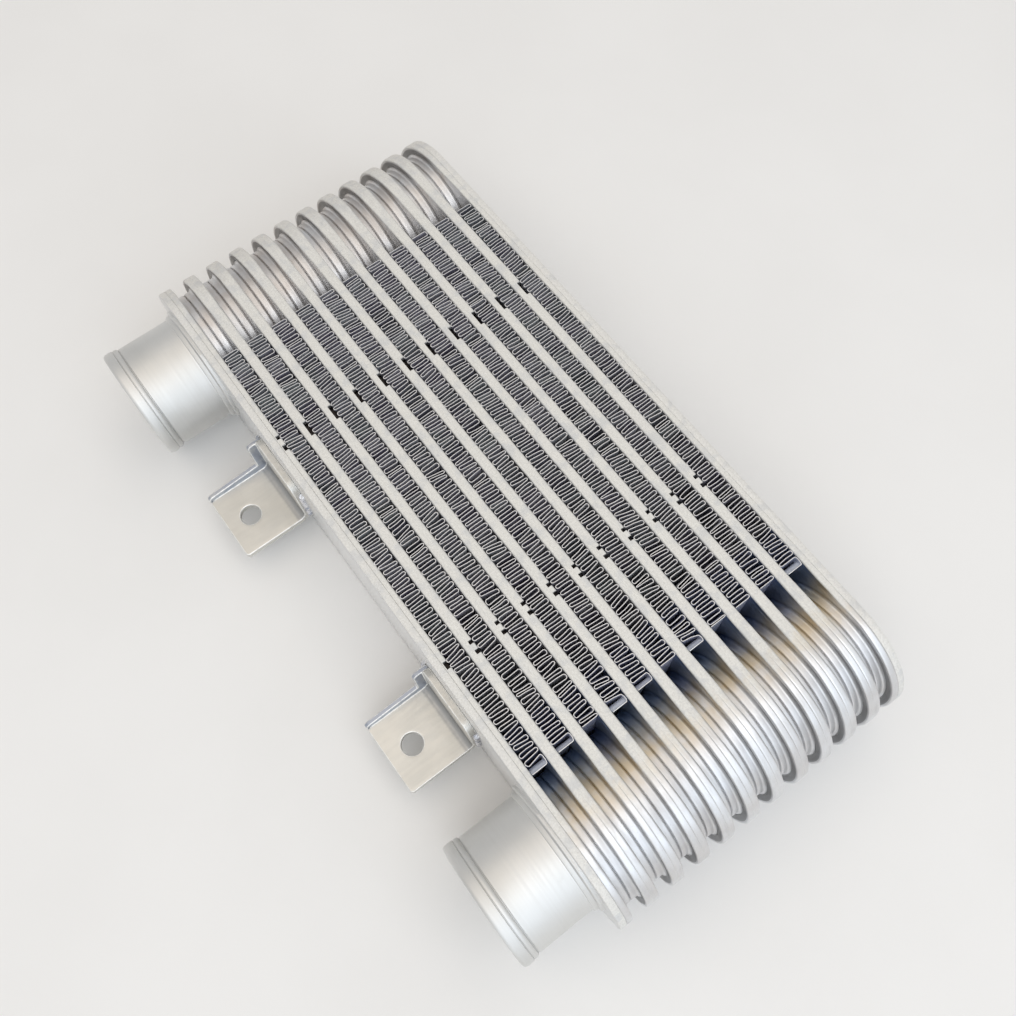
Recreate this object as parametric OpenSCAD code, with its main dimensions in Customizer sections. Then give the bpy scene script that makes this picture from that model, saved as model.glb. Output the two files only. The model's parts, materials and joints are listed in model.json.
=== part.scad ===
// Plate-and-fin oil cooler core, brazed from drawn aluminium tube plates.
// The core lies flat: +X runs along the tubes, +Y through the stack away from
// the hose spigots, +Z up through the depth of the core.
// The origin is the centre of the bounding box, on the resting face.

/* [Core] */
// Number of complete tubes between the two end passages
tube_count = 10; // [4:1:10]
// Thickness of one tube, both of its plates together
tube_t = 4.5; // [4:0.1:6]
// Height of the air gap, and of the fins that fill it
fin_h = 7.2; // [6:0.1:10]
// Depth of the core in the direction of the cooling air
core_depth = 64; // [56:1:80]
// Length of the corrugated air fins
fin_len = 204; // [160:1:300]
// Distance from a fin's end to the centre of the round tube end
end_reach = 27; // [27:0.5:32]

/* [Tube plates] */
// Thickness of the drawn tube sheet
sheet_t = 0.8; // [0.6:0.1:1]
// Width of the rim outside the fluid channel
rim_w = 4; // [3:0.5:5]
// Outer radius of the round cup that joins one tube to the next
cup_r = 26.8; // [25:0.1:26.9]
// Radius of the port through a cup's end ring
port_r = 20; // [14:0.5:22]
// Depth of the assembly notches in the rear rims
notch_depth = 1.8; // [1:0.1:3]

/* [Air fins] */
// Number of waves in one fin
fin_waves = 72; // [40:1:80]
// Thickness of the fin foil
foil_t = 0.25; // [0.15:0.05:0.4]

/* [Turbulators] */
// Number of waves across one turbulator
turbulator_waves = 20; // [10:1:30]
// Thickness of the turbulator foil
turbulator_foil_t = 0.2; // [0.15:0.05:0.3]

/* [End plates] */
// Thickness of the flat end plates
end_plate_t = 3; // [2:0.5:5]

/* [Hose spigots] */
// Outer radius of a spigot
spigot_r = 24; // [20:0.5:24]
// Wall thickness of a spigot
spigot_wall = 2.5; // [2:0.5:4]
// Length of a spigot in front of the end plate
spigot_len = 34; // [28:1:50]
// Distance from a fin's end to the spigot's axis
spigot_reach = 24; // [24:0.5:29]
// Height of the hose bead above the spigot
bead_h = 1.2; // [0.8:0.1:2]
// Radius of the bead's rounding
bead_round = 4.5; // [3:0.5:6]
// Radial thickness of the collar at a spigot's foot
collar_t = 2.5; // [1.5:0.5:3]
// Length of the collar
collar_len = 3.6; // [2:0.1:6]

/* [Mounting brackets] */
// Distance between the two bracket holes
bracket_spacing = 122; // [90:1:160]
// Width of a bracket along the core
bracket_w = 31; // [24:1:40]
// Reach of the tab in front of the end plate
tab_reach = 32.5; // [28:0.5:40]
// Distance of the bolt hole in front of the end plate
hole_reach = 21.5; // [18:0.5:24]
// Radius of the bolt hole
hole_r = 4.5; // [3.3:0.1:5.5]
// Thickness of the bracket sheet
bracket_t = 3; // [2:0.5:4]
// Height of the tab's underside above the resting face
bracket_z = 12; // [6:1:20]
// Height of the upright leg
leg_h = 30; // [24:1:40]
// Radius of the leg's upper corners
leg_corner_r = 6; // [3:0.5:8]
// Inner radius of the bend between tab and leg
bend_r = 3; // [2:0.5:5]
// Height of the stiffening flange above the sheet
flange_h = 4.2; // [3:0.1:6]
// Thickness of the stiffening flange
flange_t = 2; // [1.5:0.5:3]
// Leg length of a weld bead
weld_leg = 2.4; // [1.5:0.1:4]
// Length of a weld bead
weld_len = 20; // [10:1:22]

/* [Hidden] */
$fn = 96;
fin_rows = tube_count + 1;
tray_t = tube_t / 2;
pitch = tube_t + fin_h;
cup_h = fin_h / 2;
mid_z = core_depth / 2;
round_x = fin_len / 2 + end_reach;
spigot_x = fin_len / 2 + spigot_reach;
stack_d = 2 * end_plate_t + fin_rows * pitch;
full_d = stack_d + spigot_len;
front_y = spigot_len - full_d / 2;
rear_y = full_d / 2;
channel_d = core_depth - 2 * rim_w;
turbulator_gap = 0.5;
cut = 1;

// Seam of a tube. Tube 0 and tube fin_rows are the end passages, whose seam is on an end plate.
function seam_y(i) = front_y + end_plate_t + i * pitch;
// Front of an air gap, counted from 1
function gap_y(i) = seam_y(i - 1) + tray_t;
// Two-digit number, so that node names sort in order
function two_digits(n) = n < 10 ? str("0", n) : str(n);

TUBE_ROWS = [for (i = [1 : tube_count]) i];
FIN_ROWS = [for (i = [1 : fin_rows]) i];
END_NAMES = ["near", "far"];
SIDE_NAMES = ["left", "right"];

function tube_plate_name(i, side) = str("tube_", two_digits(i), "_", side, "_plate");
function turbulator_name(i) =
    i == 0 ? "near_turbulator" :
    i == fin_rows ? "far_turbulator" :
    str("tube_", two_digits(i), "_turbulator");
function fin_name(i) = str("air_fin_", two_digits(i));

// Extrudes an XZ outline along Y, from y0 to y1
module along_y(y0, y1) {
    translate([0, y1, 0])
        rotate([90, 0, 0])
            linear_extrude(y1 - y0)
                children();
}

// Outline of a tube plate, inset from its edge
module plate_outline(inset = 0) {
    translate([0, mid_z]) {
        square([2 * round_x, core_depth - 2 * inset], center = true);
        for (side = [-1, 1])
            translate([side * round_x, 0])
                circle(r = core_depth / 2 - inset);
    }
}

// Closed band between two insets of the plate outline
module plate_band(outer, inner) {
    difference() {
        plate_outline(outer);
        plate_outline(inner);
    }
}

module cup_circles(r) {
    for (side = [-1, 1])
        translate([side * round_x, mid_z])
            circle(r = r);
}

// Notches that locate the fins, each given by the middle and the width of its slot.
// A tube has one wide slot, and a pair with a tab between them.
TUBE_NOTCHES = [[-53.5, 7], [54, 0.9], [58, 0.9]];
END_NOTCHES = [[-57.4, 1.8], [-52, 2.6], [55.6, 3]];

module rim_notches(slots) {
    for (slot = slots)
        translate([slot[0] - slot[1] / 2, sheet_t / 2, core_depth - notch_depth])
            cube([slot[1], tray_t, notch_depth + cut]);
}

// Drawn plate with its seam at y = 0 and its cups pointing along +Y
module tray() {
    face_y = tray_t - sheet_t;
    along_y(0, sheet_t) plate_band(0, rim_w);
    along_y(0, tray_t) plate_band(0, sheet_t);
    along_y(0, tray_t) plate_band(rim_w - sheet_t, rim_w);
    along_y(face_y, tray_t)
        difference() {
            plate_outline(rim_w - sheet_t);
            cup_circles(cup_r - sheet_t);
        }
    along_y(face_y, tray_t + cup_h)
        difference() {
            cup_circles(cup_r);
            cup_circles(cup_r - sheet_t);
        }
    along_y(tray_t + cup_h - sheet_t, tray_t + cup_h)
        difference() {
            cup_circles(cup_r);
            cup_circles(port_r);
        }
}

module rear_tray(y, slots) {
    color("gainsboro")
        translate([0, y, 0])
            difference() {
                tray();
                rim_notches(slots);
            }
}

module front_tray(y) {
    color("gainsboro")
        translate([0, y, 0])
            mirror([0, 1, 0])
                tray();
}

module near_end_plate() {
    color("silver")
        along_y(front_y, front_y + end_plate_t)
            difference() {
                plate_outline();
                for (side = [-1, 1])
                    translate([side * spigot_x, mid_z])
                        circle(r = spigot_r);
            }
}

module far_end_plate() {
    color("silver")
        along_y(rear_y - end_plate_t, rear_y)
            plate_outline();
}

// Folded foil with flat crests, as an outline: x runs along the waves, y is 0 to h.
// The lower edge repeats the upper one, moved along by the foil's thickness.
function crest_points(waves, len, h, foil) =
    let (wave = len / waves, flat = wave * 0.3, rise = wave * 0.2)
    [for (i = [0 : waves - 1], p = [[0, h], [flat, h], [flat + rise, foil], [wave - rise, foil]])
        [i * wave + p[0], p[1]]];
function valley_points(waves, len, h, foil) =
    let (wave = len / waves, flat = wave * 0.3, rise = wave * 0.2, shift = foil * 1.05)
    [for (i = [waves - 1 : -1 : 0], p = [[wave - rise + shift, 0], [flat + rise - shift, 0],
                                         [flat - shift, h - foil], [shift, h - foil]])
        [i * wave + p[0], p[1]]];

module folded_foil(waves, len, h, foil) {
    polygon(concat(crest_points(waves, len, h, foil), valley_points(waves, len, h, foil)));
}

module air_fin(row) {
    color("lightsteelblue")
        translate([-fin_len / 2, gap_y(row), 0])
            linear_extrude(core_depth)
                folded_foil(fin_waves, fin_len, fin_h, foil_t);
}

module turbulator(y, h) {
    width = channel_d - 2 * turbulator_gap;
    color("slategray")
        translate([-fin_len / 2, y, rim_w + turbulator_gap + width])
            rotate([0, 90, 0])
                linear_extrude(fin_len)
                    folded_foil(turbulator_waves, width, h, turbulator_foil_t);
}

module tube_turbulator(i) {
    end_h = tray_t - sheet_t;
    if (i == 0)
        turbulator(seam_y(0), end_h);
    else if (i == fin_rows)
        turbulator(seam_y(fin_rows) - end_h, end_h);
    else
        turbulator(seam_y(i) - end_h, 2 * end_h);
}

// Turns a profile of radius and distance about a spigot's axis.
// Distance 0 is the rear face of the near end plate.
module about_spigot_axis(side) {
    translate([side * spigot_x, front_y + end_plate_t, mid_z])
        rotate([90, 0, 0])
            rotate_extrude()
                children();
}

module spigot(side) {
    tip = end_plate_t + spigot_len;
    bead_y = tip - bead_round * 0.7;
    lip = 0.8;
    color("lightgray")
        about_spigot_axis(side)
            difference() {
                union() {
                    square([spigot_r, tip]);
                    intersection() {
                        translate([spigot_r + bead_h - bead_round, bead_y])
                            circle(r = bead_round);
                        square([spigot_r + bead_h, tip]);
                    }
                }
                translate([0, -cut])
                    square([spigot_r - spigot_wall, tip + 2 * cut]);
                polygon([[spigot_r - lip / 2, tip], [spigot_r + bead_h, tip - lip * 2], [spigot_r + bead_h, tip]]);
            }
}

module spigot_collar(side) {
    color("lightgray")
        about_spigot_axis(side)
            polygon([
                [spigot_r, end_plate_t],
                [spigot_r + collar_t, end_plate_t],
                [spigot_r + collar_t, end_plate_t + collar_len * 0.4],
                [spigot_r, end_plate_t + collar_len]
            ]);
}

// Extrudes a profile of reach and height along X, from x0 to x1
module along_x(x0, x1) {
    translate([x0, 0, 0])
        rotate([90, 0, 90])
            linear_extrude(x1 - x0)
                children();
}

// Bracket with its back at y = 0, its underside at z = 0 and its hole at x = 0
module bracket_tab() {
    corner = 1.5;
    linear_extrude(bracket_t)
        difference() {
            union() {
                translate([-bracket_w / 2, corner - tab_reach])
                    square([bracket_w, tab_reach - corner - bend_r - bracket_t]);
                translate([corner - bracket_w / 2, -tab_reach])
                    square([bracket_w - 2 * corner, corner]);
                for (side = [-1, 1])
                    translate([side * (bracket_w / 2 - corner), corner - tab_reach])
                        circle(r = corner);
            }
            translate([0, -hole_reach])
                circle(r = hole_r);
        }
}

module bracket_bend() {
    bend_outer = bend_r + bracket_t;
    along_x(-bracket_w / 2, bracket_w / 2)
        intersection() {
            translate([-bend_outer, bend_outer])
                difference() {
                    circle(r = bend_outer);
                    circle(r = bend_r);
                }
            translate([-bend_outer, 0])
                square(bend_outer);
        }
}

module bracket_leg() {
    foot = bend_r + bracket_t;
    along_y(-bracket_t, 0) {
        translate([-bracket_w / 2, foot])
            square([bracket_w, leg_h - leg_corner_r - foot]);
        translate([leg_corner_r - bracket_w / 2, foot])
            square([bracket_w - 2 * leg_corner_r, leg_h - foot]);
        for (side = [-1, 1])
            translate([side * (bracket_w / 2 - leg_corner_r), leg_h - leg_corner_r])
                circle(r = leg_corner_r);
    }
}

module bracket_flange() {
    edge = bracket_t + flange_h;
    flange_round = 2;
    along_x(-bracket_w / 2 - flange_t, -bracket_w / 2) {
        translate([flange_round - tab_reach, 0])
            square([tab_reach - flange_round, edge]);
        translate([-tab_reach, 0])
            square([flange_round, edge - flange_round]);
        translate([flange_round - tab_reach, edge - flange_round])
            circle(r = flange_round);
        translate([-edge, 0])
            square([edge, leg_h - leg_corner_r - flange_round]);
        translate([flange_round - edge, 0])
            square([edge - flange_round, leg_h - leg_corner_r]);
        translate([flange_round - edge, leg_h - leg_corner_r - flange_round])
            circle(r = flange_round);
    }
}

module bracket(side) {
    color("whitesmoke")
        translate([side * bracket_spacing / 2, front_y, bracket_z]) {
            bracket_tab();
            bracket_bend();
            bracket_leg();
            bracket_flange();
        }
}

// One bead in each corner between the end plate and the leg's upright edges
module bracket_weld(side) {
    weld_z = bracket_z + leg_h - leg_corner_r - weld_len;
    color("darkgray")
        translate([side * bracket_spacing / 2, front_y, weld_z])
            for (bead = [[bracket_w / 2, weld_leg], [-bracket_w / 2 - flange_t, -weld_leg]])
                linear_extrude(weld_len)
                    polygon([[bead[0], 0], [bead[0] + bead[1], 0], [bead[0], -weld_leg]]);
}

near_end_plate();
far_end_plate();
rear_tray(seam_y(0), END_NOTCHES);  // near_end_tray
front_tray(seam_y(fin_rows));  // far_end_tray
for (i = TUBE_ROWS) {
    front_tray(seam_y(i));
    rear_tray(seam_y(i), TUBE_NOTCHES);
}
for (i = [0 : fin_rows])
    tube_turbulator(i);
for (i = FIN_ROWS)
    air_fin(i);
for (s = [0, 1]) {
    spigot(2 * s - 1);
    spigot_collar(2 * s - 1);
    bracket(2 * s - 1);
    bracket_weld(2 * s - 1);
}
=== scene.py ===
"""Looks of the oil cooler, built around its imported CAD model.

Shapes are in millimetres until mesh_piece() and bracket_piece() write them in metres.
Shaders, lights and the camera are in metres.
"""

import json
import math

import bmesh
import bpy
import numpy as np
from mathutils import Matrix, Vector
from mathutils.geometry import tessellate_polygon


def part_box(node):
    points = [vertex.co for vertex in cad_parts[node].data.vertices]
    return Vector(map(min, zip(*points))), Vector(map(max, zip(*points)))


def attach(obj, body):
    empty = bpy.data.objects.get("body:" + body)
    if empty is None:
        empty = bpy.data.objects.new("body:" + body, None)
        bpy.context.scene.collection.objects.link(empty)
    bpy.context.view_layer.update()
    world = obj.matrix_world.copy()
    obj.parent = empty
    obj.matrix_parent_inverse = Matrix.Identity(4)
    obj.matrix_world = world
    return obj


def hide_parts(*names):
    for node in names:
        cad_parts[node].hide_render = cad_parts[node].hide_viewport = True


MM = 0.001

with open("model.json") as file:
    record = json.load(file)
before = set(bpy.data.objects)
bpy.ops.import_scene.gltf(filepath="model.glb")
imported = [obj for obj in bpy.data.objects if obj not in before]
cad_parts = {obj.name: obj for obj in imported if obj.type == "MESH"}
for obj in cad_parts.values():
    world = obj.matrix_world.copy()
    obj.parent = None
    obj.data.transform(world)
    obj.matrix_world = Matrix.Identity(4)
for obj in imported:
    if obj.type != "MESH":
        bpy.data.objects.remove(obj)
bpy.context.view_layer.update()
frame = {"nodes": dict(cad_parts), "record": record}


def box_mm(node):
    low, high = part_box(node)
    return np.array(low) / MM, np.array(high) / MM


# ---------------------------------------------------------------- sizes, all read from the frame
NODES = sorted(frame["nodes"])
TUBES = [name[5:7] for name in NODES if name.startswith("tube_") and name.endswith("front_plate")]
FINS = [name for name in NODES if name.startswith("air_fin_")]
PLATE_LOW, PLATE_HIGH = box_mm("near_end_plate")
FAR_LOW, FAR_HIGH = box_mm("far_end_plate")
DEPTH = PLATE_HIGH[2]
MID_Z = DEPTH / 2
TIP_R = DEPTH / 2
ROUND_X = PLATE_HIGH[0] - TIP_R
FIN_LOW, FIN_HIGH = box_mm(FINS[0])
TRAY_LOW, TRAY_HIGH = box_mm("near_end_tray")
SEAM_0 = TRAY_LOW[1]
TRAY_T = FIN_LOW[1] - SEAM_0
CUP_TOP = TRAY_HIGH[1] - SEAM_0
PITCH = box_mm(FINS[1])[0][1] - FIN_LOW[1]

# Sizes within a piece, as in part.scad; a notch is its middle along X and its width
SHEET = 0.8
CUP_R = 26.8
PORT_R = 20.0
BORE_R = 21.5
SPIGOT_R = 24.0
FIN_WAVES = 72
TUBE_NOTCHES = ((-53.5, 7.0), (54.0, 1.5), (58.2, 1.7))
END_NOTCHES = ((-57.4, 1.8), (-52.0, 2.6), (55.6, 3.0))

# First seed of each kind of piece
NEAR_TRAY_SEED, FAR_TRAY_SEED = 100, 101
FRONT_PLATE_SEED, REAR_PLATE_SEED = 200, 300
FIN_SEED = 500
BEAD_SEED = 700


# ---------------------------------------------------------------- materials
CLEAN_METAL = (0.90, 0.90, 0.89)
STRAW = (0.70, 0.585, 0.40)
HEAT_BLUE = (0.23, 0.33, 0.52)
SMOKE = (0.56, 0.49, 0.43)
# Near black, painted as shade where the sheet lies in shadow
PAINTED_SHADE_BLACK = (0.035, 0.03, 0.028)

# Heat tint along X, in metres: start, full, fading and gone
STRAW_BAND = (0.104, 0.112, 0.119, 0.135)
BLUE_BAND = (0.080, 0.090, 0.104, 0.115)
SMOKE_BAND = (-0.13, -0.10)


def darker(color, share):
    return tuple(c * share for c in color)


class Shader:
    """A material with one Principled shader, and short helpers for its node tree."""

    def __init__(self, name, metallic, specular=0.5):
        self.material = bpy.data.materials.new(name)
        self.material.use_nodes = True
        self.tree = self.material.node_tree
        self.tree.nodes.clear()
        self.out = self.node("ShaderNodeOutputMaterial")
        self.bsdf = self.node("ShaderNodeBsdfPrincipled")
        self.tree.links.new(self.bsdf.outputs[0], self.out.inputs[0])
        self.bsdf.inputs["Metallic"].default_value = metallic
        self.bsdf.inputs["Specular IOR Level"].default_value = specular
        self.coords = self.node("ShaderNodeTexCoord").outputs["Object"]

    def node(self, kind, **settings):
        made = self.tree.nodes.new(kind)
        for key, value in settings.items():
            setattr(made, key, value)
        return made

    def link(self, source, target):
        self.tree.links.new(source, target)

    def noise(self, scale, detail=4.0, rough=0.55, stretch=None, distort=0.0):
        made = self.node("ShaderNodeTexNoise")
        made.inputs["Scale"].default_value = scale
        made.inputs["Detail"].default_value = detail
        made.inputs["Roughness"].default_value = rough
        made.inputs["Distortion"].default_value = distort
        vector = self.coords
        if stretch:
            mapping = self.node("ShaderNodeMapping")
            mapping.inputs["Scale"].default_value = stretch
            self.link(self.coords, mapping.inputs["Vector"])
            vector = mapping.outputs["Vector"]
        self.link(vector, made.inputs["Vector"])
        return made.outputs["Fac"]

    def ramp(self, value, low, high, to_low=0.0, to_high=1.0):
        """A smooth step from to_low, at low, to to_high, at high."""
        made = self.node("ShaderNodeMapRange")
        made.interpolation_type = "SMOOTHSTEP"
        ends = {"From Min": low, "From Max": high, "To Min": to_low, "To Max": to_high}
        for name, number in ends.items():
            made.inputs[name].default_value = number
        self.link(value, made.inputs["Value"])
        return made.outputs["Result"]

    def math(self, operation, a, b):
        made = self.node("ShaderNodeMath", operation=operation)
        for index, item in enumerate((a, b)):
            if isinstance(item, (int, float)):
                made.inputs[index].default_value = item
            else:
                self.link(item, made.inputs[index])
        return made.outputs[0]

    def mix(self, factor, a, b):
        made = self.node("ShaderNodeMix", data_type="RGBA")
        for index, item in ((6, a), (7, b)):
            if isinstance(item, tuple):
                made.inputs[index].default_value = (*item, 1.0)
            else:
                self.link(item, made.inputs[index])
        if isinstance(factor, (int, float)):
            made.inputs[0].default_value = factor
        else:
            self.link(factor, made.inputs[0])
        return made.outputs[2]

    def attribute(self, name):
        return self.node("ShaderNodeAttribute", attribute_name=name).outputs["Fac"]

    def along(self, axis):
        """Position along one axis of the frame, in metres."""
        split = self.node("ShaderNodeSeparateXYZ")
        self.link(self.coords, split.inputs[0])
        return split.outputs[axis]

    def hump(self, value, band, top):
        """Rises to top over the first half of the band and falls to 0 over the second."""
        start, full, fade, stop = band
        rise = self.ramp(value, start, full, 0.0, top)
        return self.math("MULTIPLY", rise, self.ramp(value, fade, stop, 1.0, 0.0))

    def pointiness(self):
        return self.node("ShaderNodeNewGeometry").outputs["Pointiness"]

    def bump(self, layers):
        """layers: (height output, strength, distance in mm)"""
        last = None
        for height, strength, distance in layers:
            made = self.node("ShaderNodeBump")
            made.inputs["Strength"].default_value = strength
            made.inputs["Distance"].default_value = distance * MM
            self.link(height, made.inputs["Height"])
            if last is not None:
                self.link(last, made.inputs["Normal"])
            last = made.outputs["Normal"]
        self.link(last, self.bsdf.inputs["Normal"])

    def finish(self, color, rough):
        self.link(color, self.bsdf.inputs["Base Color"])
        self.link(rough, self.bsdf.inputs["Roughness"])
        return self.material


def sheet_metal(name, bright, dull, flux_color, rough_range, heat, cloudy):
    """Sheet, tinted by heat beside the fins. Attribute "flux": 1 dry, 0 clean satin, -1 near black
    as painted shade.
    """
    s = Shader(name, 1.0)
    blotch = s.ramp(s.noise(60, 3), 0.30, 0.72)
    grain = s.noise(2600, 2, 0.7)
    sand = s.noise(1250, 4, 0.75)
    streak = s.noise(260, 3, 0.5, stretch=(0.35, 1.6, 0.35))
    flux = s.attribute("flux")
    patches = s.math("MULTIPLY", s.noise(330, 4, 0.65), 0.5)
    patchy = s.ramp(s.math("ADD", flux, patches), 0.55, 1.05)
    metal = s.mix(blotch, bright, dull)
    metal = s.mix(s.ramp(streak, 0.45, 0.75, 0.0, cloudy), metal, darker(dull, 0.72))
    cloud = s.ramp(s.noise(110, 3), 0.30, 0.65, 0.0, heat)
    x = s.along("X")
    tan = s.math("MULTIPLY", s.hump(x, STRAW_BAND, 0.78), cloud)
    metal = s.mix(tan, metal, STRAW)
    metal = s.mix(s.hump(x, BLUE_BAND, 0.90 * heat), metal, HEAT_BLUE)
    metal = s.mix(s.math("MULTIPLY", s.ramp(x, *SMOKE_BAND, 0.42, 0.0), cloud), metal, SMOKE)
    dry = s.mix(s.ramp(sand, 0.30, 0.66), darker(flux_color, 0.84), flux_color)
    dry = s.mix(s.ramp(s.noise(170, 4, 0.6), 0.48, 0.66, 0.0, 0.55), dry, (0.60, 0.61, 0.62))
    color = s.mix(patchy, metal, dry)
    specks = s.ramp(s.noise(1500, 2, 0.6), 0.28, 0.38, 0.20, 0.0)
    color = s.mix(specks, color, (0.42, 0.41, 0.39))
    worn = s.ramp(s.pointiness(), 0.52, 0.60, 0.0, 0.30)
    color = s.mix(worn, color, CLEAN_METAL)
    # Negative flux paints the sheet near black: painted shade in the notches, on the rims' sides
    # at the tips and in the left cups' crescents
    soot_and_painted_shade = s.ramp(flux, -0.7, -0.2, 1.0, 0.0)
    color = s.mix(soot_and_painted_shade, color, PAINTED_SHADE_BLACK)
    rough = s.ramp(streak, 0.3, 0.75, *rough_range)
    rough = s.math("MINIMUM", s.math("ADD", rough, s.math("MULTIPLY", patchy, 0.22)), 0.85)
    s.link(s.ramp(patchy, 0.0, 1.0, 1.0, 0.35), s.bsdf.inputs["Metallic"])
    crust = s.math("MULTIPLY", sand, patchy)
    s.bump([(streak, 0.10, 0.10), (crust, 0.60, 0.18), (grain, 0.16, 0.03)])
    return s.finish(color, rough)


BLUED_FIN_END = (0.0862, 0.0868)


def fin_metal(name):
    """Folded foil. Attribute "flux": a tone for every leg that paints it lit or shaded, and -1 for
    a painted highlight on a bent tab. Edges facing up get a painted highlight.
    """
    s = Shader(name, 0.55)
    normal = s.node("ShaderNodeSeparateXYZ")
    s.link(s.node("ShaderNodeNewGeometry").outputs["Normal"], normal.inputs[0])
    # Faces that point up, the foil's top edges, get a painted highlight
    upward = s.ramp(s.math("ABSOLUTE", normal.outputs["Z"], 0.0), 0.35, 0.8)
    tone = s.attribute("flux")
    blotch = s.ramp(s.noise(70, 4), 0.35, 0.7)
    # Lit and shaded copies of the foil, picked per leg by its tone: painted light and shade
    light = s.mix(blotch, (0.62, 0.62, 0.67), (0.53, 0.57, 0.58))
    dark = s.mix(blotch, (0.22, 0.20, 0.29), (0.20, 0.22, 0.26))
    face = s.mix(tone, light, dark)
    face = s.mix(s.ramp(s.along("X"), *BLUED_FIN_END, 0.0, 0.6), face, (0.40, 0.44, 0.62))
    dust = s.ramp(s.noise(420, 3, 0.6), 0.5, 0.72, 0.0, 0.35)
    face = s.mix(dust, face, (0.70, 0.69, 0.68))
    edge = s.mix(s.noise(900, 2), (0.92, 0.91, 0.90), (0.62, 0.62, 0.64))
    color = s.mix(upward, face, edge)
    # A bent tab is painted pale bluish white: a painted highlight
    color = s.mix(s.ramp(tone, -0.8, -0.3, 1.0, 0.0), color, (0.84, 0.87, 0.90))
    rough = s.ramp(s.noise(800, 3), 0.3, 0.7, 0.36, 0.58)
    s.bump([(s.noise(500, 3), 0.25, 0.06), (s.noise(3000, 2), 0.12, 0.02)])
    return s.finish(color, rough)


def turned_metal(name):
    """Turned tube: fine rings around its axis, which is Y."""
    s = Shader(name, 1.0)
    rings = s.noise(900, 2, 0.6, stretch=(0.02, 1.0, 0.02))
    haze = s.ramp(s.noise(38, 3), 0.35, 0.7)
    fine = s.noise(2400, 2, 0.6)
    color = s.mix(haze, (0.75, 0.75, 0.74), (0.70, 0.70, 0.685))
    stain = s.ramp(s.noise(150, 5, 0.65), 0.62, 0.80, 0.0, 0.20)
    color = s.mix(stain, color, (0.58, 0.57, 0.54))
    # Concave grooves and the collar's corner are painted darker: painted shade
    crease_shade = s.ramp(s.pointiness(), 0.42, 0.49, 0.55, 0.0)
    color = s.mix(crease_shade, color, (0.22, 0.22, 0.23))
    worn = s.ramp(s.pointiness(), 0.53, 0.60, 0.0, 0.30)
    color = s.mix(worn, color, CLEAN_METAL)
    rough = s.math("ADD", s.ramp(rings, 0.3, 0.7, 0.50, 0.58), s.math("MULTIPLY", stain, 0.4))
    s.bump([(rings, 0.08, 0.02), (fine, 0.14, 0.03)])
    return s.finish(color, rough)


def bracket_metal(name):
    """Satin sheet. Attribute "flux": 1 on the flange, painted bluish shade and reflection, and -1
    in the bend, painted shade. Rounded edges are marked 1 by a second attribute, painted wear and
    highlight.
    """
    s = Shader(name, 0.9)
    haze = s.ramp(s.noise(60, 4), 0.35, 0.7)
    brushed = s.noise(700, 3, 0.6, stretch=(1.0, 0.12, 0.3))
    color = s.mix(haze, (0.70, 0.69, 0.655), (0.65, 0.64, 0.605))
    scratch = s.ramp(s.noise(260, 5, 0.75, stretch=(0.5, 1.4, 1.0)), 0.66, 0.72, 0.0, 0.35)
    color = s.mix(scratch, color, (0.46, 0.45, 0.43))
    flux = s.attribute("flux")
    uneven = s.ramp(s.noise(190, 3), 0.2, 0.6, 0.55, 1.0)
    # The flange is painted bluish grey: painted shade and reflection
    flange_shade_tint = s.math("MULTIPLY", s.ramp(flux, 0.2, 0.9), uneven)
    color = s.mix(flange_shade_tint, color, (0.42, 0.455, 0.53))
    # The bend's inside is painted dark grey: painted shade
    color = s.mix(s.ramp(flux, -1.0, -0.1, 0.55, 0.0), color, (0.30, 0.31, 0.33))
    rubbed = s.ramp(s.noise(420, 4, 0.7), 0.32, 0.55, 0.25, 0.9)
    # Rounded edges are painted pale: worn metal and a painted highlight along them
    wear_and_highlight = s.math("MULTIPLY", s.attribute("wear_and_highlight"), rubbed)
    color = s.mix(wear_and_highlight, color, (0.93, 0.93, 0.91))
    rough = s.ramp(brushed, 0.3, 0.7, 0.40, 0.54)
    s.bump([(brushed, 0.12, 0.04), (s.noise(1500, 3), 0.12, 0.03)])
    return s.finish(color, rough)


def weld_metal(name):
    """Bright bead with patches of blue-grey soot."""
    s = Shader(name, 1.0)
    soot_and_painted_shade = s.ramp(s.noise(320, 4, 0.7), 0.46, 0.66)
    color = s.mix(soot_and_painted_shade, (0.78, 0.78, 0.80), (0.34, 0.36, 0.42))
    rough = s.ramp(s.noise(700, 3), 0.3, 0.7, 0.26, 0.5)
    s.bump([(s.noise(900, 4), 0.4, 0.12)])
    return s.finish(color, rough)


MATERIALS = {
    "tube_plate": sheet_metal(
        "drawn_tube_sheet",
        bright=(0.79, 0.80, 0.82),
        dull=(0.69, 0.68, 0.68),
        flux_color=(0.80, 0.79, 0.755),
        rough_range=(0.40, 0.52),
        heat=1.0,
        cloudy=0.25,
    ),
    "end_plate": sheet_metal(
        "end_plate_sheet",
        bright=(0.75, 0.75, 0.75),
        dull=(0.73, 0.73, 0.727),
        flux_color=(0.80, 0.79, 0.76),
        rough_range=(0.42, 0.50),
        heat=0.0,
        cloudy=0.10,
    ),
    "air_fin": fin_metal("air_fin_foil"),
    "turbulator": bracket_metal("turbulator_foil"),
    "spigot": turned_metal("turned_spigot"),
    "bracket": bracket_metal("bracket_sheet"),
    "weld": weld_metal("weld_bead"),
}
for entry in frame["record"]["subparts"]:
    node_mesh = frame["nodes"][entry["node"]].data
    node_mesh.materials.clear()
    node_mesh.materials.append(MATERIALS[entry["material_slot"]])


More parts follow.
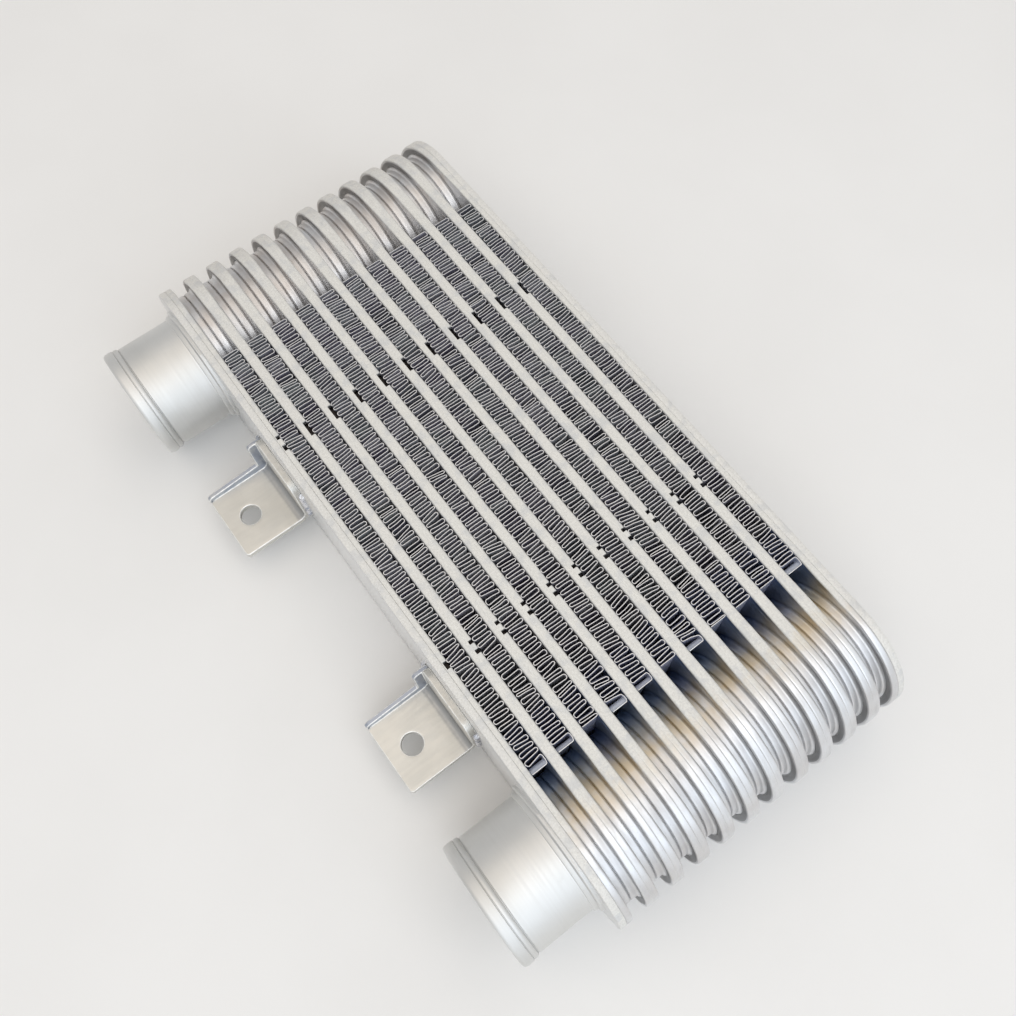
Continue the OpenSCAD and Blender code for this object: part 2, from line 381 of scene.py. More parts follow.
# ---------------------------------------------------------------- mesh helpers
class Shell:
    """Gathers vertices, faces and a flux value for each vertex."""

    def __init__(self):
        self.verts, self.faces, self.flux, self.count = [], [], [], 0

    def add(self, verts, faces, flux=0.0):
        verts = np.asarray(verts, float).reshape(-1, 3)
        self.verts.append(verts)
        self.faces.extend([tuple(int(i) + self.count for i in face) for face in faces])
        self.flux.append(np.broadcast_to(np.asarray(flux, float), len(verts)))
        self.count += len(verts)

    def grid(self, points, flux=0.0, wrap_u=False, wrap_v=False):
        """points is (u, v, 3); a wrapped direction joins its last row to its first."""
        rows, cols = points.shape[:2]
        index = np.arange(rows * cols).reshape(rows, cols)
        u = np.arange(rows if wrap_u else rows - 1)
        v = np.arange(cols if wrap_v else cols - 1)
        uu, vv = (a.ravel() for a in np.meshgrid(u, v, indexing="ij"))
        u2, v2 = (uu + 1) % rows, (vv + 1) % cols
        quads = np.stack([index[uu, vv], index[u2, vv], index[u2, v2], index[uu, v2]], 1)
        self.add(points.reshape(-1, 3), quads, np.asarray(flux).ravel() if np.ndim(flux) else flux)


SAME_PLACE = 1e-6
WELD_GAP = 1e-7


def face_outward(mesh):
    """Turns every face outward; islands whose borders meet are judged as one closed skin."""
    skin = bmesh.new()
    skin.from_mesh(mesh)
    number = skin.faces.layers.int.new("number")
    for index, face in enumerate(skin.faces):
        face[number] = index
    bmesh.ops.remove_doubles(skin, verts=skin.verts, dist=SAME_PLACE)
    bmesh.ops.recalc_face_normals(skin, faces=skin.faces)
    outward = {face[number]: face.normal.copy() for face in skin.faces}
    skin.free()
    work = bmesh.new()
    work.from_mesh(mesh)
    for index, face in enumerate(work.faces):
        if index in outward and face.normal.dot(outward[index]) < 0:
            face.normal_flip()
    work.to_mesh(mesh)
    work.free()


def mesh_piece(name, shell, slot, nodes, sharp=40.0, weld=False):
    """Makes a Shell into a piece on root; edges steeper than sharp degrees stay crisp."""
    mesh = bpy.data.meshes.new(name)
    mesh.from_pydata((np.concatenate(shell.verts) * MM).tolist(), [], shell.faces)
    attribute = mesh.attributes.new("flux", "FLOAT", "POINT")
    attribute.data.foreach_set("value", np.concatenate(shell.flux).astype(np.float32))
    if weld:
        work = bmesh.new()
        work.from_mesh(mesh)
        bmesh.ops.remove_doubles(work, verts=work.verts, dist=WELD_GAP)
        work.to_mesh(mesh)
        work.free()
    face_outward(mesh)
    mesh.polygons.foreach_set("use_smooth", np.ones(len(mesh.polygons), bool))
    mesh.set_sharp_from_angle(angle=math.radians(sharp))
    mesh.materials.append(MATERIALS[slot])
    made = bpy.data.objects.new(name, mesh)
    bpy.context.scene.collection.objects.link(made)
    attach(made, "root")
    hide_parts(*nodes)


def smoothstep(value):
    t = np.clip(value, 0.0, 1.0)
    return t * t * (3 - 2 * t)


def ripple(rng, length, count):
    """A smooth random function of one variable, about -1 to 1."""
    full_turn = 2 * math.pi
    waves = []
    for _ in range(count):
        per_mm, phase = rng.uniform(0.5, 5.0) / length, rng.uniform(0, full_turn)
        waves.append((per_mm, phase, rng.uniform(0.3, 1.0)))
    total = sum(height for _, _, height in waves)
    return lambda x: sum(a * np.sin(full_turn * f * x + p) for f, p, a in waves) / total


# ---------------------------------------------------------------- plate outline
STRAIGHT_STEP = 6.0
ARC_STEPS = 56
NOTCH_EDGE = 0.06
NOTCH_CLEAR = 0.5


def outline(notches=()):
    """Stations around the plate: points (x, z), inward normals, and 1 within a notch on top."""
    xs = list(np.arange(-ROUND_X, ROUND_X, STRAIGHT_STEP)) + [ROUND_X]
    for middle, width in notches:
        low, high = middle - width / 2, middle + width / 2
        xs = [x for x in xs if x < low - NOTCH_CLEAR or x > high + NOTCH_CLEAR]
        xs += [low - NOTCH_EDGE, low + NOTCH_EDGE, high - NOTCH_EDGE, high + NOTCH_EDGE]
    xs = np.array(sorted(xs))
    cut = np.zeros(len(xs))
    for middle, width in notches:
        cut[np.abs(xs - middle) < width / 2] = 1.0
    top = np.stack([xs[::-1], np.full(len(xs), DEPTH)], 1)
    low_xs = np.arange(-ROUND_X, ROUND_X + 0.1, STRAIGHT_STEP)
    bottom = np.stack([low_xs, np.zeros(len(low_xs))], 1)
    turn = np.linspace(0, math.pi, ARC_STEPS + 1)[1:-1]
    left = np.stack([-ROUND_X - TIP_R * np.sin(turn), MID_Z + TIP_R * np.cos(turn)], 1)
    right = np.stack([ROUND_X + TIP_R * np.sin(turn), MID_Z - TIP_R * np.cos(turn)], 1)
    points = np.concatenate([top, left, bottom, right])
    cut = np.concatenate([cut[::-1], np.zeros(len(left) + len(bottom) + len(right))])
    core = points.copy()
    core[:, 0] = np.clip(core[:, 0], -ROUND_X, ROUND_X)
    core[:, 1] = MID_Z
    inward = core - points
    inward /= np.linalg.norm(inward, axis=1)[:, None]
    return points, inward, cut


def circle_points(x, radius, steps=96):
    turn = np.linspace(0, 2 * math.pi, steps, endpoint=False)
    return np.stack([x + radius * np.cos(turn), MID_Z + radius * np.sin(turn)], 1)


def flat_face(shell, loops, y, flux):
    """Fills a flat face with holes; loops are (x, z) rings, the outer one first."""
    rings = [[Vector((p[0], p[1], 0.0)) for p in ring] for ring in loops]
    faces = tessellate_polygon(rings)
    points = np.concatenate(loops)
    shell.add(np.stack([points[:, 0], np.full(len(points), y), points[:, 1]], 1), faces, flux)


def wall(shell, ring, y0, y1, flux):
    """The wall of a straight hole through a plate."""
    rows = [np.stack([ring[:, 0], np.full(len(ring), y), ring[:, 1]], 1) for y in (y0, y1)]
    shell.grid(np.stack(rows), flux, wrap_v=True)


def flat_plate(shell, inset, y0, y1, holes, flux, round_r=0.0):
    """A plate of the outline's shape, its edges rounded by round_r; holes are (x, radius)."""
    points, inward, _ = outline()
    rings = [circle_points(x, radius) for x, radius in holes]
    edge = [(0.0, y0), (0.0, y1)]
    if round_r:
        nip = round_r * 0.3
        edge = [(round_r, y0), (nip, y0 + nip), (0.0, y0 + round_r)]
        edge += [(0.0, y1 - round_r), (nip, y1 - nip), (round_r, y1)]
    rows = []
    for extra, y in edge:
        place = points + inward * (inset + extra)
        rows.append(np.stack([place[:, 0], np.full(len(place), y), place[:, 1]], 1))
    shell.grid(np.stack(rows), 1.0 if round_r else flux, wrap_v=True)
    face_ring = points + inward * (inset + round_r)
    for y in (y0, y1):
        flat_face(shell, [face_ring] + rings, y, flux)
    for ring in rings:
        wall(shell, ring, y0, y1, flux)


def lathe(shell, x, profile, y_of, flux=0.0, steps=128):
    """Turns a closed profile of (radius, distance) about a spigot or cup axis."""
    rows = []
    for radius, distance in profile:
        ring = circle_points(x, radius, steps)
        rows.append(np.stack([ring[:, 0], np.full(steps, y_of(distance)), ring[:, 1]], 1))
    shell.grid(np.stack(rows), flux, wrap_u=True, wrap_v=True)


def arc(cx, cy, radius, start, end, steps):
    """Points on an arc between two angles in degrees."""
    turn = np.radians(np.linspace(start, end, steps + 1))
    return [(cx + radius * math.cos(a), cy + radius * math.sin(a)) for a in turn]


# ---------------------------------------------------------------- drawn tube plates
RIM_ROUND = 0.75
CUP_FOOT_R = 1.2
CUP_EDGE_R = 0.8
PORT_EDGE = 0.3
CUP_STEPS = 128
TIP_FLARE = 0.26
SEAM_GROOVE, SEAM_REACH = 0.13, 0.34
NOTCH_LOOK, NOTCH_FLOOR_Y = 3.1, 0.43
RIM_WAVE, RIM_THIN, RIM_SAG = 0.06, 0.10, 0.05
PANEL_INSET, PANEL_FLUX = 3.6, 0.1
# How much shade is painted on the rims' sides near the round tips
RIM_SHADE_DEPTH = 0.48
# How much shade is painted on the left cups' outer side
CUP_SHADE_DEPTH = 0.42

# Closed profiles: (inset or radius, distance from the seam)
RIM_PROFILE = (
    [(0.03, 0.0), (0.01, 0.12), (0.0, 0.30), (0.0, 0.40), (0.0, 0.46)]
    + arc(RIM_ROUND, TRAY_T - RIM_ROUND, RIM_ROUND, 180, 90, 6)
    + [(1.4, TRAY_T), (2.2, TRAY_T), (3.0, TRAY_T), (3.9, TRAY_T)]
    + [(3.9, TRAY_T - SHEET), (3.2, 0.0)]
)
CUP_PROFILE = (
    [(CUP_R + 1.5, TRAY_T)]
    + arc(CUP_R + CUP_FOOT_R, TRAY_T + CUP_FOOT_R, CUP_FOOT_R, 270, 180, 6)
    + arc(CUP_R - CUP_EDGE_R, CUP_TOP - CUP_EDGE_R, CUP_EDGE_R, 0, 90, 6)
    + [(PORT_R + PORT_EDGE, CUP_TOP), (PORT_R, CUP_TOP - PORT_EDGE), (PORT_R, CUP_TOP - SHEET)]
    + [(CUP_R - SHEET, CUP_TOP - SHEET), (CUP_R - SHEET, TRAY_T - SHEET)]
    + [(CUP_R + 1.5, TRAY_T - SHEET)]
)


def tray_piece(name, seam, direction, notches, node, seed):
    """One drawn plate; its cups point along +Y for direction 1, and along -Y for -1."""
    rng = np.random.default_rng(seed)
    wobble, sway, thick = ripple(rng, 60.0, 5), ripple(rng, 90.0, 5), ripple(rng, 25.0, 6)
    points, inward, cut = outline(notches)
    xs, around = points[:, 0], points[:, 0] + points[:, 1]
    beyond = np.abs(xs) - ROUND_X
    flare = TIP_FLARE * smoothstep((beyond + 30) / (TIP_R + 26))
    seam_open = SEAM_GROOVE * smoothstep((beyond + 25) / 40)
    clean = 0.66 * smoothstep((xs - 104) / 34) + 0.30 * smoothstep((-xs - 100) / 30)
    # Towards the round tips the rims' sides are painted darker: painted shade in the gaps between
    # plates
    rim_tip_shade = smoothstep((beyond + 12) / 20)
    shell = Shell()
    rows, flux = [], []
    for inset, y in RIM_PROFILE:
        drop = inset + seam_open * max(0.0, 1 - y / SEAM_REACH)
        dry = float(smoothstep(1.5 - inset)) * (1 - clean)
        if inset < NOTCH_LOOK and y > NOTCH_FLOOR_Y:
            drop = np.where(cut > 0, NOTCH_LOOK + 0.1 * inset, drop)
            # Inside a notch the rim is painted near black: painted shade in the notch's void
            dry = np.where(cut > 0, -1.0, dry)
        if inset > 1.0:
            dry = dry - RIM_SHADE_DEPTH * rim_tip_shade
        outer, near_seam = smoothstep((3.2 - inset) / 2.4), min(y, 1.0)
        side = y * (1 + flare * outer) + RIM_WAVE * wobble(around) * near_seam
        side = side - RIM_THIN * outer * near_seam * (1 + thick(around))
        lift = RIM_SAG * (sway(xs) - 1) * (points[:, 1] > MID_Z)
        place = points + inward * (drop - lift)[:, None]
        rows.append(np.stack([place[:, 0], seam + direction * side, place[:, 1]], 1))
        flux.append(dry)
    shell.grid(np.stack(rows), np.stack(flux), wrap_u=True, wrap_v=True)
    y0, y1 = sorted((seam + direction * (TRAY_T - SHEET), seam + direction * TRAY_T))
    cups = [(-ROUND_X, CUP_R), (ROUND_X, CUP_R)]
    flat_plate(shell, PANEL_INSET, y0, y1, cups, PANEL_FLUX)
    turn = np.linspace(0, 2 * math.pi, CUP_STEPS, endpoint=False)
    # The left cups' outer side is painted darker as a crescent of shade
    cup_crescent_shade = -CUP_SHADE_DEPTH * smoothstep((-np.cos(turn) - 0.45) / 0.5)
    for x, shade in ((-ROUND_X, cup_crescent_shade), (ROUND_X, np.zeros(CUP_STEPS))):
        tones = np.tile(shade, (len(CUP_PROFILE), 1))
        lathe(shell, x, CUP_PROFILE, lambda d: seam + direction * d, tones, CUP_STEPS)
    mesh_piece(name, shell, "tube_plate", [node], sharp=50)


LAST_SEAM = SEAM_0 + PITCH * (len(TUBES) + 1)
tray_piece("near_end_shell", SEAM_0, 1, END_NOTCHES, "near_end_tray", NEAR_TRAY_SEED)
for number, tube in enumerate(TUBES, 1):
    seam = SEAM_0 + PITCH * number
    front, rear = f"tube_{tube}_front", f"tube_{tube}_rear"
    tray_piece(f"{front}_shell", seam, -1, (), f"{front}_plate", FRONT_PLATE_SEED + number)
    tray_piece(f"{rear}_shell", seam, 1, TUBE_NOTCHES, f"{rear}_plate", REAR_PLATE_SEED + number)
tray_piece("far_end_shell", LAST_SEAM, -1, (), "far_end_tray", FAR_TRAY_SEED)


# ---------------------------------------------------------------- end plates
SPIGOT_LOW, SPIGOT_HIGH = box_mm("left_spigot")
SPIGOT_X = abs(SPIGOT_LOW[0] + SPIGOT_HIGH[0]) / 2
PLATE_FLUX, PLATE_ROUND = 0.25, 0.45


def end_cover(name, low, high, holes, node):
    shell = Shell()
    flat_plate(shell, 0.0, low[1], high[1], holes, PLATE_FLUX, PLATE_ROUND)
    mesh_piece(name, shell, "end_plate", [node])


SEATS = [(-SPIGOT_X, SPIGOT_R), (SPIGOT_X, SPIGOT_R)]
end_cover("near_end_cover", PLATE_LOW, PLATE_HIGH, SEATS, "near_end_plate")
end_cover("far_end_cover", FAR_LOW, FAR_HIGH, [], "far_end_plate")


# ---------------------------------------------------------------- hose spigots
FOOT = PLATE_HIGH[1]
SPIGOT_LEN = FOOT - SPIGOT_LOW[1]
PLATE_T = PLATE_HIGH[1] - PLATE_LOW[1]
SPIGOT_STEPS = 160
SPIGOT_SHARP = 24


def spigot_pieces(side, name):
    """A spigot with its rolled bead, and the collar at its foot; distances run from the seat."""
    tip = SPIGOT_LEN
    body, band = SPIGOT_R - 0.1, SPIGOT_R + 0.62
    profile = [(BORE_R, 0.0), (SPIGOT_R, 0.0), (SPIGOT_R, PLATE_T + 7.0), (body, PLATE_T + 7.3)]
    profile += [(body, tip - 7.4), (body - 0.28, tip - 7.1)]
    profile += [(body - 0.28, tip - 6.85), (body + 0.25, tip - 6.6)]
    profile += [(body + 0.50, tip - 6.2), (band - 0.04, tip - 5.4), (band - 0.06, tip - 4.9)]
    profile += [(band - 0.30, tip - 4.72), (band - 0.30, tip - 4.55), (band + 0.04, tip - 4.3)]
    profile += [(band + 0.14, tip - 3.4), (band + 0.16, tip - 2.4), (band + 0.10, tip - 1.4)]
    profile += [(band - 0.08, tip - 0.7), (band - 0.42, tip - 0.2), (band - 0.95, tip)]
    profile += [(BORE_R + 0.5, tip), (BORE_R + 0.15, tip - 0.15), (BORE_R, tip - 0.5)]
    shell = Shell()
    lathe(shell, side * SPIGOT_X, profile, lambda d: FOOT - d, 0.0, SPIGOT_STEPS)
    mesh_piece(f"{name}_hose_spigot", shell, "spigot", [f"{name}_spigot"], sharp=SPIGOT_SHARP)
    base = PLATE_T
    foot = [(SPIGOT_R - 0.1, base - 0.05), (SPIGOT_R + 2.5, base - 0.05)]
    foot += [(SPIGOT_R + 2.5, base + 0.9)]
    foot += arc(SPIGOT_R + 2.0, base + 0.9, 0.5, 0, 90, 4)
    foot += [(SPIGOT_R + 1.35, base + 1.5), (SPIGOT_R + 1.1, base + 1.75)]
    foot += [(SPIGOT_R + 0.95, base + 2.6), (SPIGOT_R + 0.60, base + 3.35)]
    foot += [(SPIGOT_R - 0.1, base + 3.6)]
    shell = Shell()
    lathe(shell, side * SPIGOT_X, foot, lambda d: FOOT - d, 0.0, SPIGOT_STEPS)
    collar = f"{name}_spigot_collar"
    mesh_piece(f"{name}_spigot_ring", shell, "spigot", [collar], sharp=SPIGOT_SHARP)


spigot_pieces(-1, "left")
spigot_pieces(1, "right")


# ---------------------------------------------------------------- brackets and welds
BEVEL = 0.42
BRACKET_T = 3.0
BEND_R = 3.0
OUTER_R = BEND_R + BRACKET_T
FLANGE_T = 2.0
FLANGE_DROP = 1.7
FLANGE_TIP = 2.3
FLAT_ANGLE = math.radians(1)
BEVEL_ANGLE = math.radians(35)
CRISP_ANGLE = math.radians(40)
FLAT_FACE = 0.995
LONGEST_EDGE = 1.6
NEAR = 0.1


def refine(work):
    """Splits the long edges, so that a vertex's value stays local."""
    for _ in range(6):
        bmesh.ops.triangulate(work, faces=work.faces)
        long_edges = [e for e in work.edges if e.calc_length() > LONGEST_EDGE * MM]
        if not long_edges:
            break
        bmesh.ops.subdivide_edges(work, edges=long_edges, cuts=1)
    bmesh.ops.triangulate(work, faces=work.faces)


def beside_bend(edge, low, high):
    """True for the flange's own corner behind the bend, which stays sharp."""
    for vert in edge.verts:
        x, y, z = vert.co / MM
        on_face = abs(x - low[0] - FLANGE_T) <= 0.05
        in_corner = y >= high[1] - OUTER_R - 0.2 and z <= low[2] + OUTER_R + 0.2
        out = math.hypot(y - high[1] + OUTER_R, z - low[2] - OUTER_R)
        if not on_face or not in_corner or out < OUTER_R - NEAR:
            return False
    return True


def bracket_piece(name, node):
    """The bracket's CAD shape with its edges rounded, and its flange lower at the tab's tip."""
    source = frame["nodes"][node].data
    low, high = box_mm(node)
    mesh = bpy.data.meshes.new(name)
    work = bmesh.new()
    work.from_mesh(source)
    wear_and_highlight = work.faces.layers.float.new("wear_and_highlight")
    bmesh.ops.remove_doubles(work, verts=work.verts, dist=SAME_PLACE)
    for vert in work.verts:
        x, y, z = vert.co / MM
        if x < low[0] + FLANGE_T + 0.05 and y < low[1] + FLANGE_TIP and z > low[2] + 3.2:
            vert.co.z -= FLANGE_DROP * MM
    bmesh.ops.dissolve_limit(
        work,
        angle_limit=FLAT_ANGLE,
        verts=work.verts,
        edges=work.edges,
        use_dissolve_boundaries=False,
    )
    corners = []
    for edge in work.edges:
        steep = len(edge.link_faces) == 2 and edge.calc_face_angle(0) > BEVEL_ANGLE
        if steep and not beside_bend(edge, low, high):
            corners.append(edge)
    rounded = bmesh.ops.bevel(
        work,
        geom=corners,
        offset=BEVEL * MM,
        segments=3,
        profile=0.5,
        affect="EDGES",
        clamp_overlap=False,
    )
    # Bevel faces are marked for the painted edge highlight and wear
    for face in rounded["faces"]:
        face[wear_and_highlight] = 1.0
    refine(work)
    bmesh.ops.recalc_face_normals(work, faces=work.faces)
    for face in work.faces:
        face.smooth = max(abs(c) for c in face.normal) < FLAT_FACE
    layer = work.verts.layers.float.new("flux")
    for vert in work.verts:
        x, y, z = np.clip(np.array(vert.co) / MM, low, high)
        vert.co = (x * MM, y * MM, z * MM)
        # Inside the bend the flux falls to -1, for painted shade
        bend = math.hypot(high[1] - BRACKET_T - y, z - low[2] - BRACKET_T)
        inside = y < high[1] - BRACKET_T + NEAR and z > low[2] + BRACKET_T - NEAR
        shade = -float(smoothstep((BEND_R + 1.6 - bend) / 1.8)) if inside else 0.0
        # Flux 1 marks the flange for its painted bluish shade
        on_flange = x < low[0] + FLANGE_T + NEAR and z > low[2] + 0.6
        vert[layer] = 1.0 if on_flange else shade
    work.to_mesh(mesh)
    work.free()
    mesh.materials.clear()
    mesh.materials.append(MATERIALS["bracket"])
    mesh.set_sharp_from_angle(angle=CRISP_ANGLE)
    made = bpy.data.objects.new(name, mesh)
    bpy.context.scene.collection.objects.link(made)
    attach(made, "root")
    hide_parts(node)


BEAD_STEPS = 140
RIPPLE_PITCH = 1.7


def weld_piece(name, node, seed):
    """Two fillet beads, each a row of overlapping ripples along Z."""
    rng = np.random.default_rng(seed)
    low, high = box_mm(node)
    shell = Shell()
    size = high[1] - low[1]
    for corner_x, side in ((high[0] - size, 1), (low[0] + size, -1)):
        along = np.linspace(0, 1, BEAD_STEPS)
        noise = ripple(rng, 6.0, 5)
        z = low[2] + along * (high[2] - low[2])
        scallop = np.abs(np.sin(math.pi * (z / RIPPLE_PITCH + 0.25 * noise(z))))
        taper = np.sqrt(np.clip(np.minimum(along, 1 - along) / 0.06, 0.02, 1))
        radius = size * (0.80 + 0.20 * scallop) * (0.94 + 0.06 * noise(z)) * taper
        rows = []
        for share in np.linspace(0, 1, 9):
            turn = share * math.pi / 2
            swell = 0.80 + 0.20 * math.sin(2 * turn)
            skew = 0.5 * swell * np.sin(2 * turn)
            xs = corner_x + side * radius * math.cos(turn) * swell
            ys = high[1] - radius * math.sin(turn) * swell
            rows.append(np.stack([xs, ys, np.clip(z - skew, low[2], high[2])], 1))
        rows.append(np.stack([np.full(BEAD_STEPS, corner_x), np.full(BEAD_STEPS, high[1]), z], 1))
        shell.grid(np.stack(rows), 0.0, wrap_u=True)
        for end in (0, -1):
            shell.add(np.stack([row[end] for row in rows]), [tuple(range(len(rows)))])
    mesh_piece(name, shell, "weld", [node], sharp=60, weld=True)


for side in ("left", "right"):
    bracket_piece(f"{side}_bracket_sheet", f"{side}_bracket")
    weld_piece(f"{side}_bracket_bead", f"{side}_bracket_weld", BEAD_SEED + len(side))


# ---------------------------------------------------------------- air fins
FOIL = 0.26
FIN_SHARES = (0.0, 0.06, 0.14, 0.32, 0.5, 0.68, 0.82, 0.91, 0.95, 0.972, 0.979, 0.99, 1.0)
BEND_TURNS = (36, 72, 108, 144)
FOLD_CHANCE = 0.07
PATCHES = 4
TABBED_FINS = (1, 2, 4, 5, 7, 11)
TAB_REACH = 2.2
TAB_START, TAB_RISE = 0.948, 0.05
LIP_START, LIP_RISE = 0.965, 0.03
CREST_START, CREST_WAVE = 0.97, 0.22
PUSH_START, PUSH_DEPTH = 0.975, 0.55


def fin_piece(number, node):
    """A folded foil with round bends; legs lean and bow a little, each in its own way.

    A share runs from 0 at the fin's underside to 1 at its top. Legs bend most near the top.
    """
    low, high = box_mm(node)
    rng = np.random.default_rng(FIN_SEED + number)
    legs = 2 * FIN_WAVES
    length, height = high[0] - low[0], high[1] - low[1]
    step = (length - FOIL) / (legs - 1)
    at = FOIL / 2 + np.arange(legs) * step
    crush, bow, level = ripple(rng, 34.0, 6), ripple(rng, 22.0, 6), ripple(rng, 60.0, 6)
    folded = np.where(rng.random(legs) < FOLD_CHANCE, rng.uniform(0.4, 0.9, legs), 0.0)
    folded = np.convolve(folded, (0.5, 1.0, 0.6), "same").clip(0.0, 0.8)
    patch = np.zeros(legs)
    for _ in range(PATCHES):
        middle, width = rng.uniform(0.03, 0.97) * length, rng.uniform(5, 18)
        patch += rng.uniform(-1.0, 1.0) * np.exp(-(((at - middle) / width) ** 2))
    calm = 0.62 + 0.38 * smoothstep((at - 0.35 * length) / 50)
    jitter = rng.normal(0.0, 0.10, (2, legs)).clip(-0.24, 0.24)
    drift = np.array([[1.9], [2.7]])
    jitter += 0.15 * np.sin(at[None, :] / drift + rng.uniform(0, 6, (2, 1)))
    spread = np.abs(rng.normal(0.0, 0.24, legs + 1)).clip(0.0, 0.7)
    over = 0.10 + 0.42 * ripple(rng, 34.0, 5)(at) + rng.normal(0, 0.12, legs)
    # A tone for each leg, which paints it lighter or darker as light and shade
    tone = np.clip(0.5 + 0.35 * ripple(rng, 22.0, 6)(at) + rng.normal(0, 0.28, legs), 0, 1)
    notches = END_NOTCHES if number == 1 else TUBE_NOTCHES[:1]
    pushed = np.zeros(legs)
    for middle, width in notches:
        from_notch = np.abs(low[0] + at - middle)
        pushed = np.maximum(pushed, smoothstep((width / 2 + 0.4 - from_notch) / 0.8))
    tab_reach = TAB_REACH * rng.uniform(0.75, 1.1)
    r = step / 2
    rows = []
    for share in FIN_SHARES:
        z = low[2] + share * (high[2] - low[2])
        open_end = max(0.0, (share - 0.5) * 2)
        loose = 0.3 + 0.7 * open_end
        lip = float(smoothstep((share - LIP_START) / LIP_RISE))
        lean = calm * (0.46 * crush(at) + 0.5 * patch) * loose
        foot_x = at + jitter[0] * loose - lean
        head_x = at + jitter[1] * loose + lean
        mid_x = at + 0.5 * (jitter[0] + jitter[1]) + 0.3 * bow(at) * open_end
        push = PUSH_DEPTH * pushed if share > PUSH_START else 0.0
        near = push + over * (1 - pushed) * lip
        for ends in (foot_x, head_x, mid_x):
            ends += folded * lip
            ends[0], ends[-1] = FOIL / 2, length - FOIL / 2
        foot_y = FOIL / 2 + r + spread[:legs] * (1 - lip) - near
        path = []
        for leg in range(legs):
            upward = leg % 2 == 0
            y_foot = FOIL / 2 if leg in (0, legs - 1) else foot_y[leg]
            y_head = height - FOIL / 2 - r - spread[leg + 1]
            foot, head = (foot_x[leg], y_foot), (head_x[leg], y_head)
            start, stop = (foot, head) if upward else (head, foot)
            path += [start, (mid_x[leg], height / 2), stop]
            if leg < legs - 1:
                next_x = head_x[leg + 1] if upward else foot_x[leg + 1]
                half = (next_x - stop[0]) / 2
                next_y = stop[1] if upward else foot_y[leg + 1]
                sign = 1 if upward else -1
                for turn in BEND_TURNS:
                    t = math.radians(turn)
                    base = stop[1] + (next_y - stop[1]) * turn / 180
                    bend_x = stop[0] + half - half * math.cos(t)
                    path.append((bend_x, base + sign * r * math.sin(t)))
        path = np.array(path)
        ahead = np.roll(path, -1, 0) - np.roll(path, 1, 0)
        ahead[0], ahead[-1] = path[1] - path[0], path[-1] - path[-2]
        ahead /= np.linalg.norm(ahead, axis=1)[:, None]
        across = np.stack([-ahead[:, 1], ahead[:, 0]], 1) * FOIL / 2
        if number in TABBED_FINS:
            flap = tab_reach * float(smoothstep((share - TAB_START) / TAB_RISE))
            path[:, 0] += flap * smoothstep((path[:, 0] - length + step) / (0.9 * step))
        ring = np.concatenate([path + across, (path - across)[::-1]])
        ring_z = np.full(len(ring), z)
        if share > CREST_START:
            ring_z += CREST_WAVE * (level(ring[:, 0]) - 1) * (share - CREST_START) / 0.03
        ring_y = low[1] + np.minimum(ring[:, 1], height)
        rows.append(np.stack([low[0] + ring[:, 0], ring_y, ring_z], 1))
    points = np.stack(rows)
    half = points.shape[1] // 2
    # The last leg of a tabbed fin is marked for its painted highlight
    if number in TABBED_FINS:
        tone[-1] = -1.0
    leg_middles = np.arange(legs) * (half - 3) / (legs - 1) + 1
    per_point = np.interp(np.arange(half), leg_middles, tone)
    tones = np.broadcast_to(np.concatenate([per_point, per_point[::-1]]), points.shape[:2])
    shell = Shell()
    shell.grid(points, tones, wrap_v=True)
    for row in (0, -1):
        shell.grid(np.stack([points[row, :half], points[row, half:][::-1]]), 0.0)
    mesh_piece(f"fin_{number:02d}_foil", shell, "air_fin", [node], sharp=50, weld=True)


for number, node in enumerate(FINS, 1):
    fin_piece(number, node)


# ---------------------------------------------------------------- floor, lights, camera
FLOOR_HALF = 30.0
FLOOR_Z = -0.0004


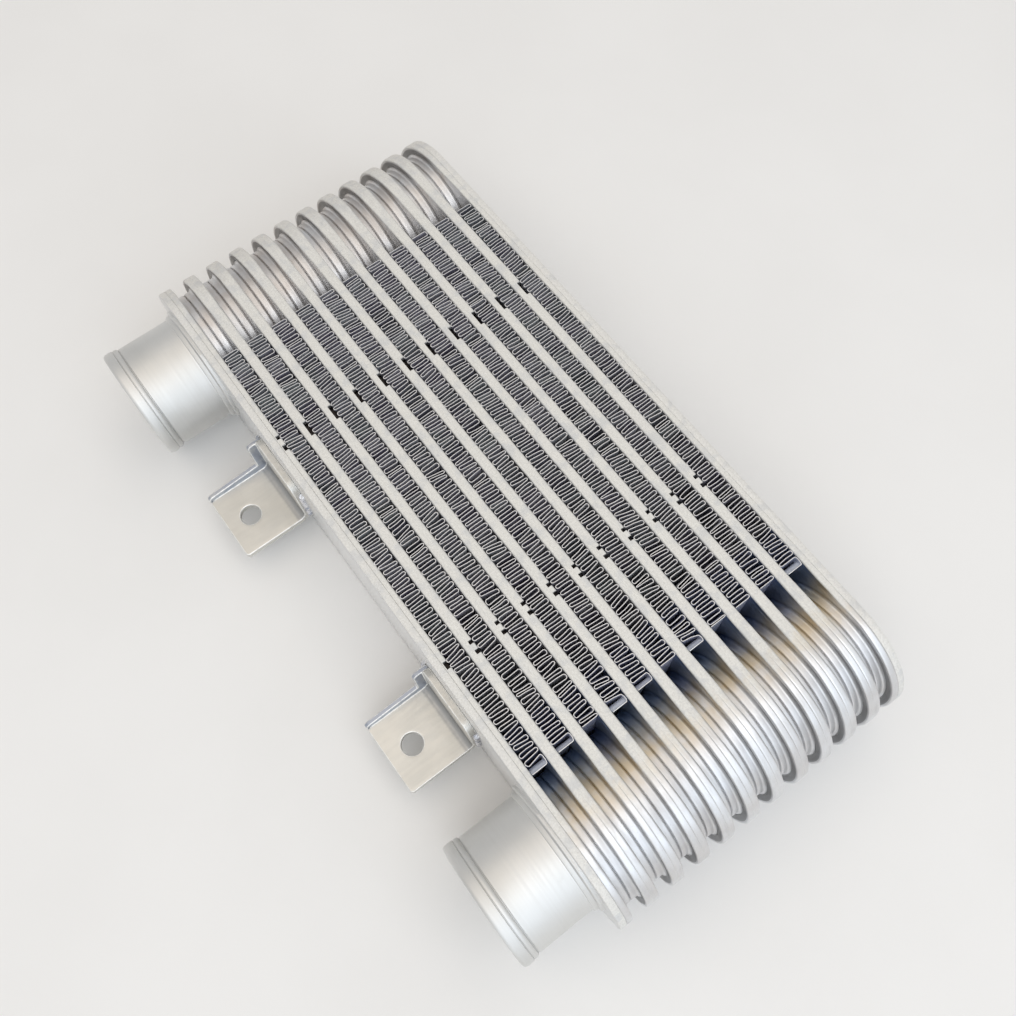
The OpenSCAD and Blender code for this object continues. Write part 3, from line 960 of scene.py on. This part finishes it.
def stage_floor():
    """A pale floor just under the part, wide enough to reach the horizon."""
    mesh = bpy.data.meshes.new("floor")
    corners = [(-1, -1), (1, -1), (1, 1), (-1, 1)]
    verts = [(x * FLOOR_HALF, y * FLOOR_HALF, FLOOR_Z) for x, y in corners]
    mesh.from_pydata(verts, [], [(0, 1, 2, 3)])
    floor = bpy.data.objects.new("floor", mesh)
    bpy.context.scene.collection.objects.link(floor)
    s = Shader("pale_cloth", 0.0, 0.2)
    tone = s.ramp(s.noise(9, 3), 0.3, 0.7)
    color = s.mix(tone, (0.85, 0.847, 0.84), (0.83, 0.826, 0.818))
    weave = s.noise(1400, 1, 0.5, stretch=(1.0, 0.55, 1.0))
    s.bump([(weave, 0.10, 0.15)])
    mesh.materials.append(s.finish(color, s.ramp(tone, 0, 1, 0.85, 0.95)))


LIGHT_TARGET = (0.0, 0.0, 0.03)


def area_light(name, place, size, power, color):
    data = bpy.data.lights.new(name, "AREA")
    data.shape = "SQUARE"
    data.size = size
    data.energy = power
    data.color = color
    light = bpy.data.objects.new(name, data)
    light.location = place
    aim = Vector(LIGHT_TARGET) - Vector(place)
    light.rotation_euler = aim.to_track_quat("-Z", "Y").to_euler()
    bpy.context.scene.collection.objects.link(light)


def studio():
    world = bpy.data.worlds.new("studio")
    bpy.context.scene.world = world
    world.use_nodes = True
    background = world.node_tree.nodes["Background"]
    background.inputs["Color"].default_value = (0.99, 0.995, 1.0, 1.0)
    background.inputs["Strength"].default_value = 0.57
    area_light("window", (1.25, -0.22, 1.15), size=2.3, power=16.5, color=(0.81, 0.90, 1.0))
    area_light("ceiling", (0.0, -0.15, 1.6), size=2.2, power=9.5, color=(1.0, 0.85, 0.68))
    bpy.context.scene.view_settings.view_transform = "Standard"


# The photo's point of view, in the frame's axes; the lens is in mm
CAMERA_PLACE = (0.14052, -0.06955, 0.41198)
CAMERA_RIGHT = (0.60027, 0.79922, -0.03045)
CAMERA_DOWN = (0.73384, -0.56550, -0.37642)
CAMERA_AHEAD = (-0.31806, 0.20361, -0.92595)
CAMERA_LENS = 35.50


def place_camera():
    data = bpy.data.cameras.new("camera")
    data.sensor_width = 36.0
    data.lens = CAMERA_LENS
    data.clip_start = 0.01
    camera = bpy.data.objects.new("camera", data)
    up, back = [-c for c in CAMERA_DOWN], [-c for c in CAMERA_AHEAD]
    axes = Matrix((CAMERA_RIGHT, up, back)).transposed()
    camera.matrix_world = Matrix.Translation(CAMERA_PLACE) @ axes.to_4x4()
    bpy.context.scene.collection.objects.link(camera)
    bpy.context.scene.camera = camera


stage_floor()
studio()
place_camera()
